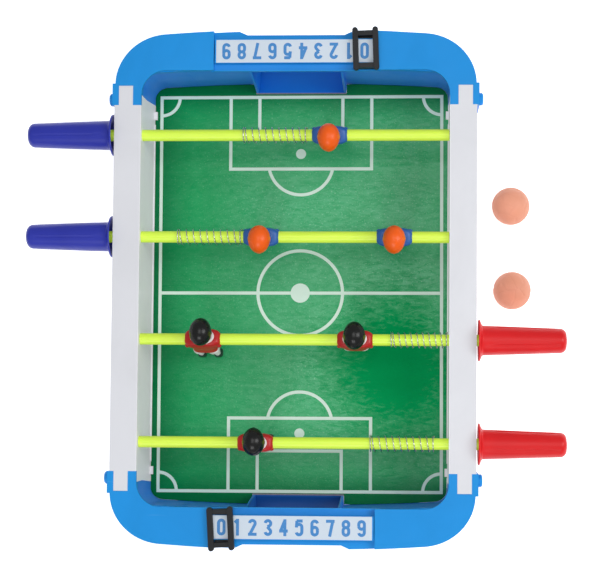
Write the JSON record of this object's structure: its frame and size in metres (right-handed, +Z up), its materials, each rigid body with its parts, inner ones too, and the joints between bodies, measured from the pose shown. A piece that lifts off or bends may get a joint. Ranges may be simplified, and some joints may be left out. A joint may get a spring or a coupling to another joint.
{
  "type": "tabletop foosball game",
  "caption": "Small tabletop football game: a walled pitch crossed by sliding, spinning rods with player figures, handles and coil springs, with score counters, goals and loose balls.",
  "frame": {"origin": "centre of the game, on the surface that it stands on", "axes": "+X along the rods, +Y towards the far goal, +Z up"},
  "size_m": [0.345, 0.3314, 0.081],
  "materials": {
    "frame_blue": "satin moulded plastic, sky blue",
    "rail_white": "satin moulded plastic, cool white",
    "board": "plain fibreboard",
    "pitch_print": "glossy laminated print, green with pale lines",
    "score_label": "pale blue printed label",
    "counter_grey": "dark grey moulded plastic",
    "peg_grey": "dark moulded plastic",
    "tube_lime": "translucent yellow-green plastic",
    "handle_blue": "glossy moulded plastic, royal blue",
    "handle_red": "glossy moulded plastic, red",
    "spring_steel": "bright spring wire",
    "figure_blue": "painted plastic, blue kit",
    "figure_red": "painted plastic, red kit",
    "ball_peach": "hollow moulded plastic, peach"
  },
  "bodies": {
    "root": {"end_frame_far": "frame_blue", "end_frame_near": "frame_blue", "side_rail_left": "rail_white", "side_rail_right": "rail_white", "pitch_board": "board", "pitch_sheet": "pitch_print", "score_label_far": "score_label", "score_label_near": "score_label", "corner_pins": "frame_blue", "guide_peg_1": "peg_grey", "guide_peg_2": "peg_grey", "guide_peg_3": "peg_grey", "guide_peg_4": "peg_grey"},
    "counter_far": {"score_slider_far": "counter_grey"},
    "counter_near": {"score_slider_near": "counter_grey"},
    "rod_1_carriage": {"spring_1": "spring_steel"},
    "rod_1": {"rod_tube_1": "tube_lime", "handle_1": "handle_blue", "figure_1": "figure_blue"},
    "rod_2_carriage": {"spring_2": "spring_steel"},
    "rod_2": {"rod_tube_2": "tube_lime", "handle_2": "handle_blue", "figure_2_left": "figure_blue", "figure_2_right": "figure_blue"},
    "rod_3_carriage": {"spring_3": "spring_steel"},
    "rod_3": {"rod_tube_3": "tube_lime", "handle_3": "handle_red", "figure_3_left": "figure_red", "figure_3_right": "figure_red"},
    "rod_4_carriage": {"spring_4": "spring_steel"},
    "rod_4": {"rod_tube_4": "tube_lime", "handle_4": "handle_red", "figure_4": "figure_red"},
    "ball_1": {"ball_1": "ball_peach"},
    "ball_2": {"ball_2": "ball_peach"}
  },
  "joints": [
    {"name": "rod_1_slide", "type": "slide", "parent": "root", "child": "rod_1_carriage", "axis": [-1, 0, 0], "range_m": [0, 0.04]},
    {"name": "rod_1_spin", "type": "hinge", "parent": "rod_1_carriage", "child": "rod_1", "pos_m": [0, 0.098, 0.061], "axis": [1, 0, 0], "continuous": true},
    {"name": "rod_2_slide", "type": "slide", "parent": "root", "child": "rod_2_carriage", "axis": [-1, 0, 0], "range_m": [0, 0.04], "deforming": ["spring_2"]},
    {"name": "rod_2_spin", "type": "hinge", "parent": "rod_2_carriage", "child": "rod_2", "pos_m": [0, 0.03265, 0.061], "axis": [1, 0, 0], "continuous": true},
    {"name": "rod_3_slide", "type": "slide", "parent": "root", "child": "rod_3_carriage", "axis": [1, 0, 0], "range_m": [0, 0.038], "deforming": ["spring_3"]},
    {"name": "rod_3_spin", "type": "hinge", "parent": "rod_3_carriage", "child": "rod_3", "pos_m": [0, -0.03265, 0.061], "axis": [1, 0, 0], "continuous": true},
    {"name": "rod_4_slide", "type": "slide", "parent": "root", "child": "rod_4_carriage", "axis": [1, 0, 0], "range_m": [0, 0.04], "deforming": ["spring_4"]},
    {"name": "rod_4_spin", "type": "hinge", "parent": "rod_4_carriage", "child": "rod_4", "pos_m": [0, -0.098, 0.061], "axis": [1, 0, 0], "continuous": true},
    {"name": "counter_far_slide", "type": "slide", "parent": "root", "child": "counter_far", "axis": [-1, 0, 0], "range_m": [0, 0.0881]},
    {"name": "counter_near_slide", "type": "slide", "parent": "root", "child": "counter_near", "axis": [1, 0, 0], "range_m": [0, 0.0881]},
    {"name": "ball_1_lift", "type": "slide", "parent": "root", "child": "ball_1", "axis": [0, 0, 1], "range_m": [0, 0.1]},
    {"name": "ball_2_lift", "type": "slide", "parent": "root", "child": "ball_2", "axis": [0, 0, 1], "range_m": [0, 0.1]}
  ]
}
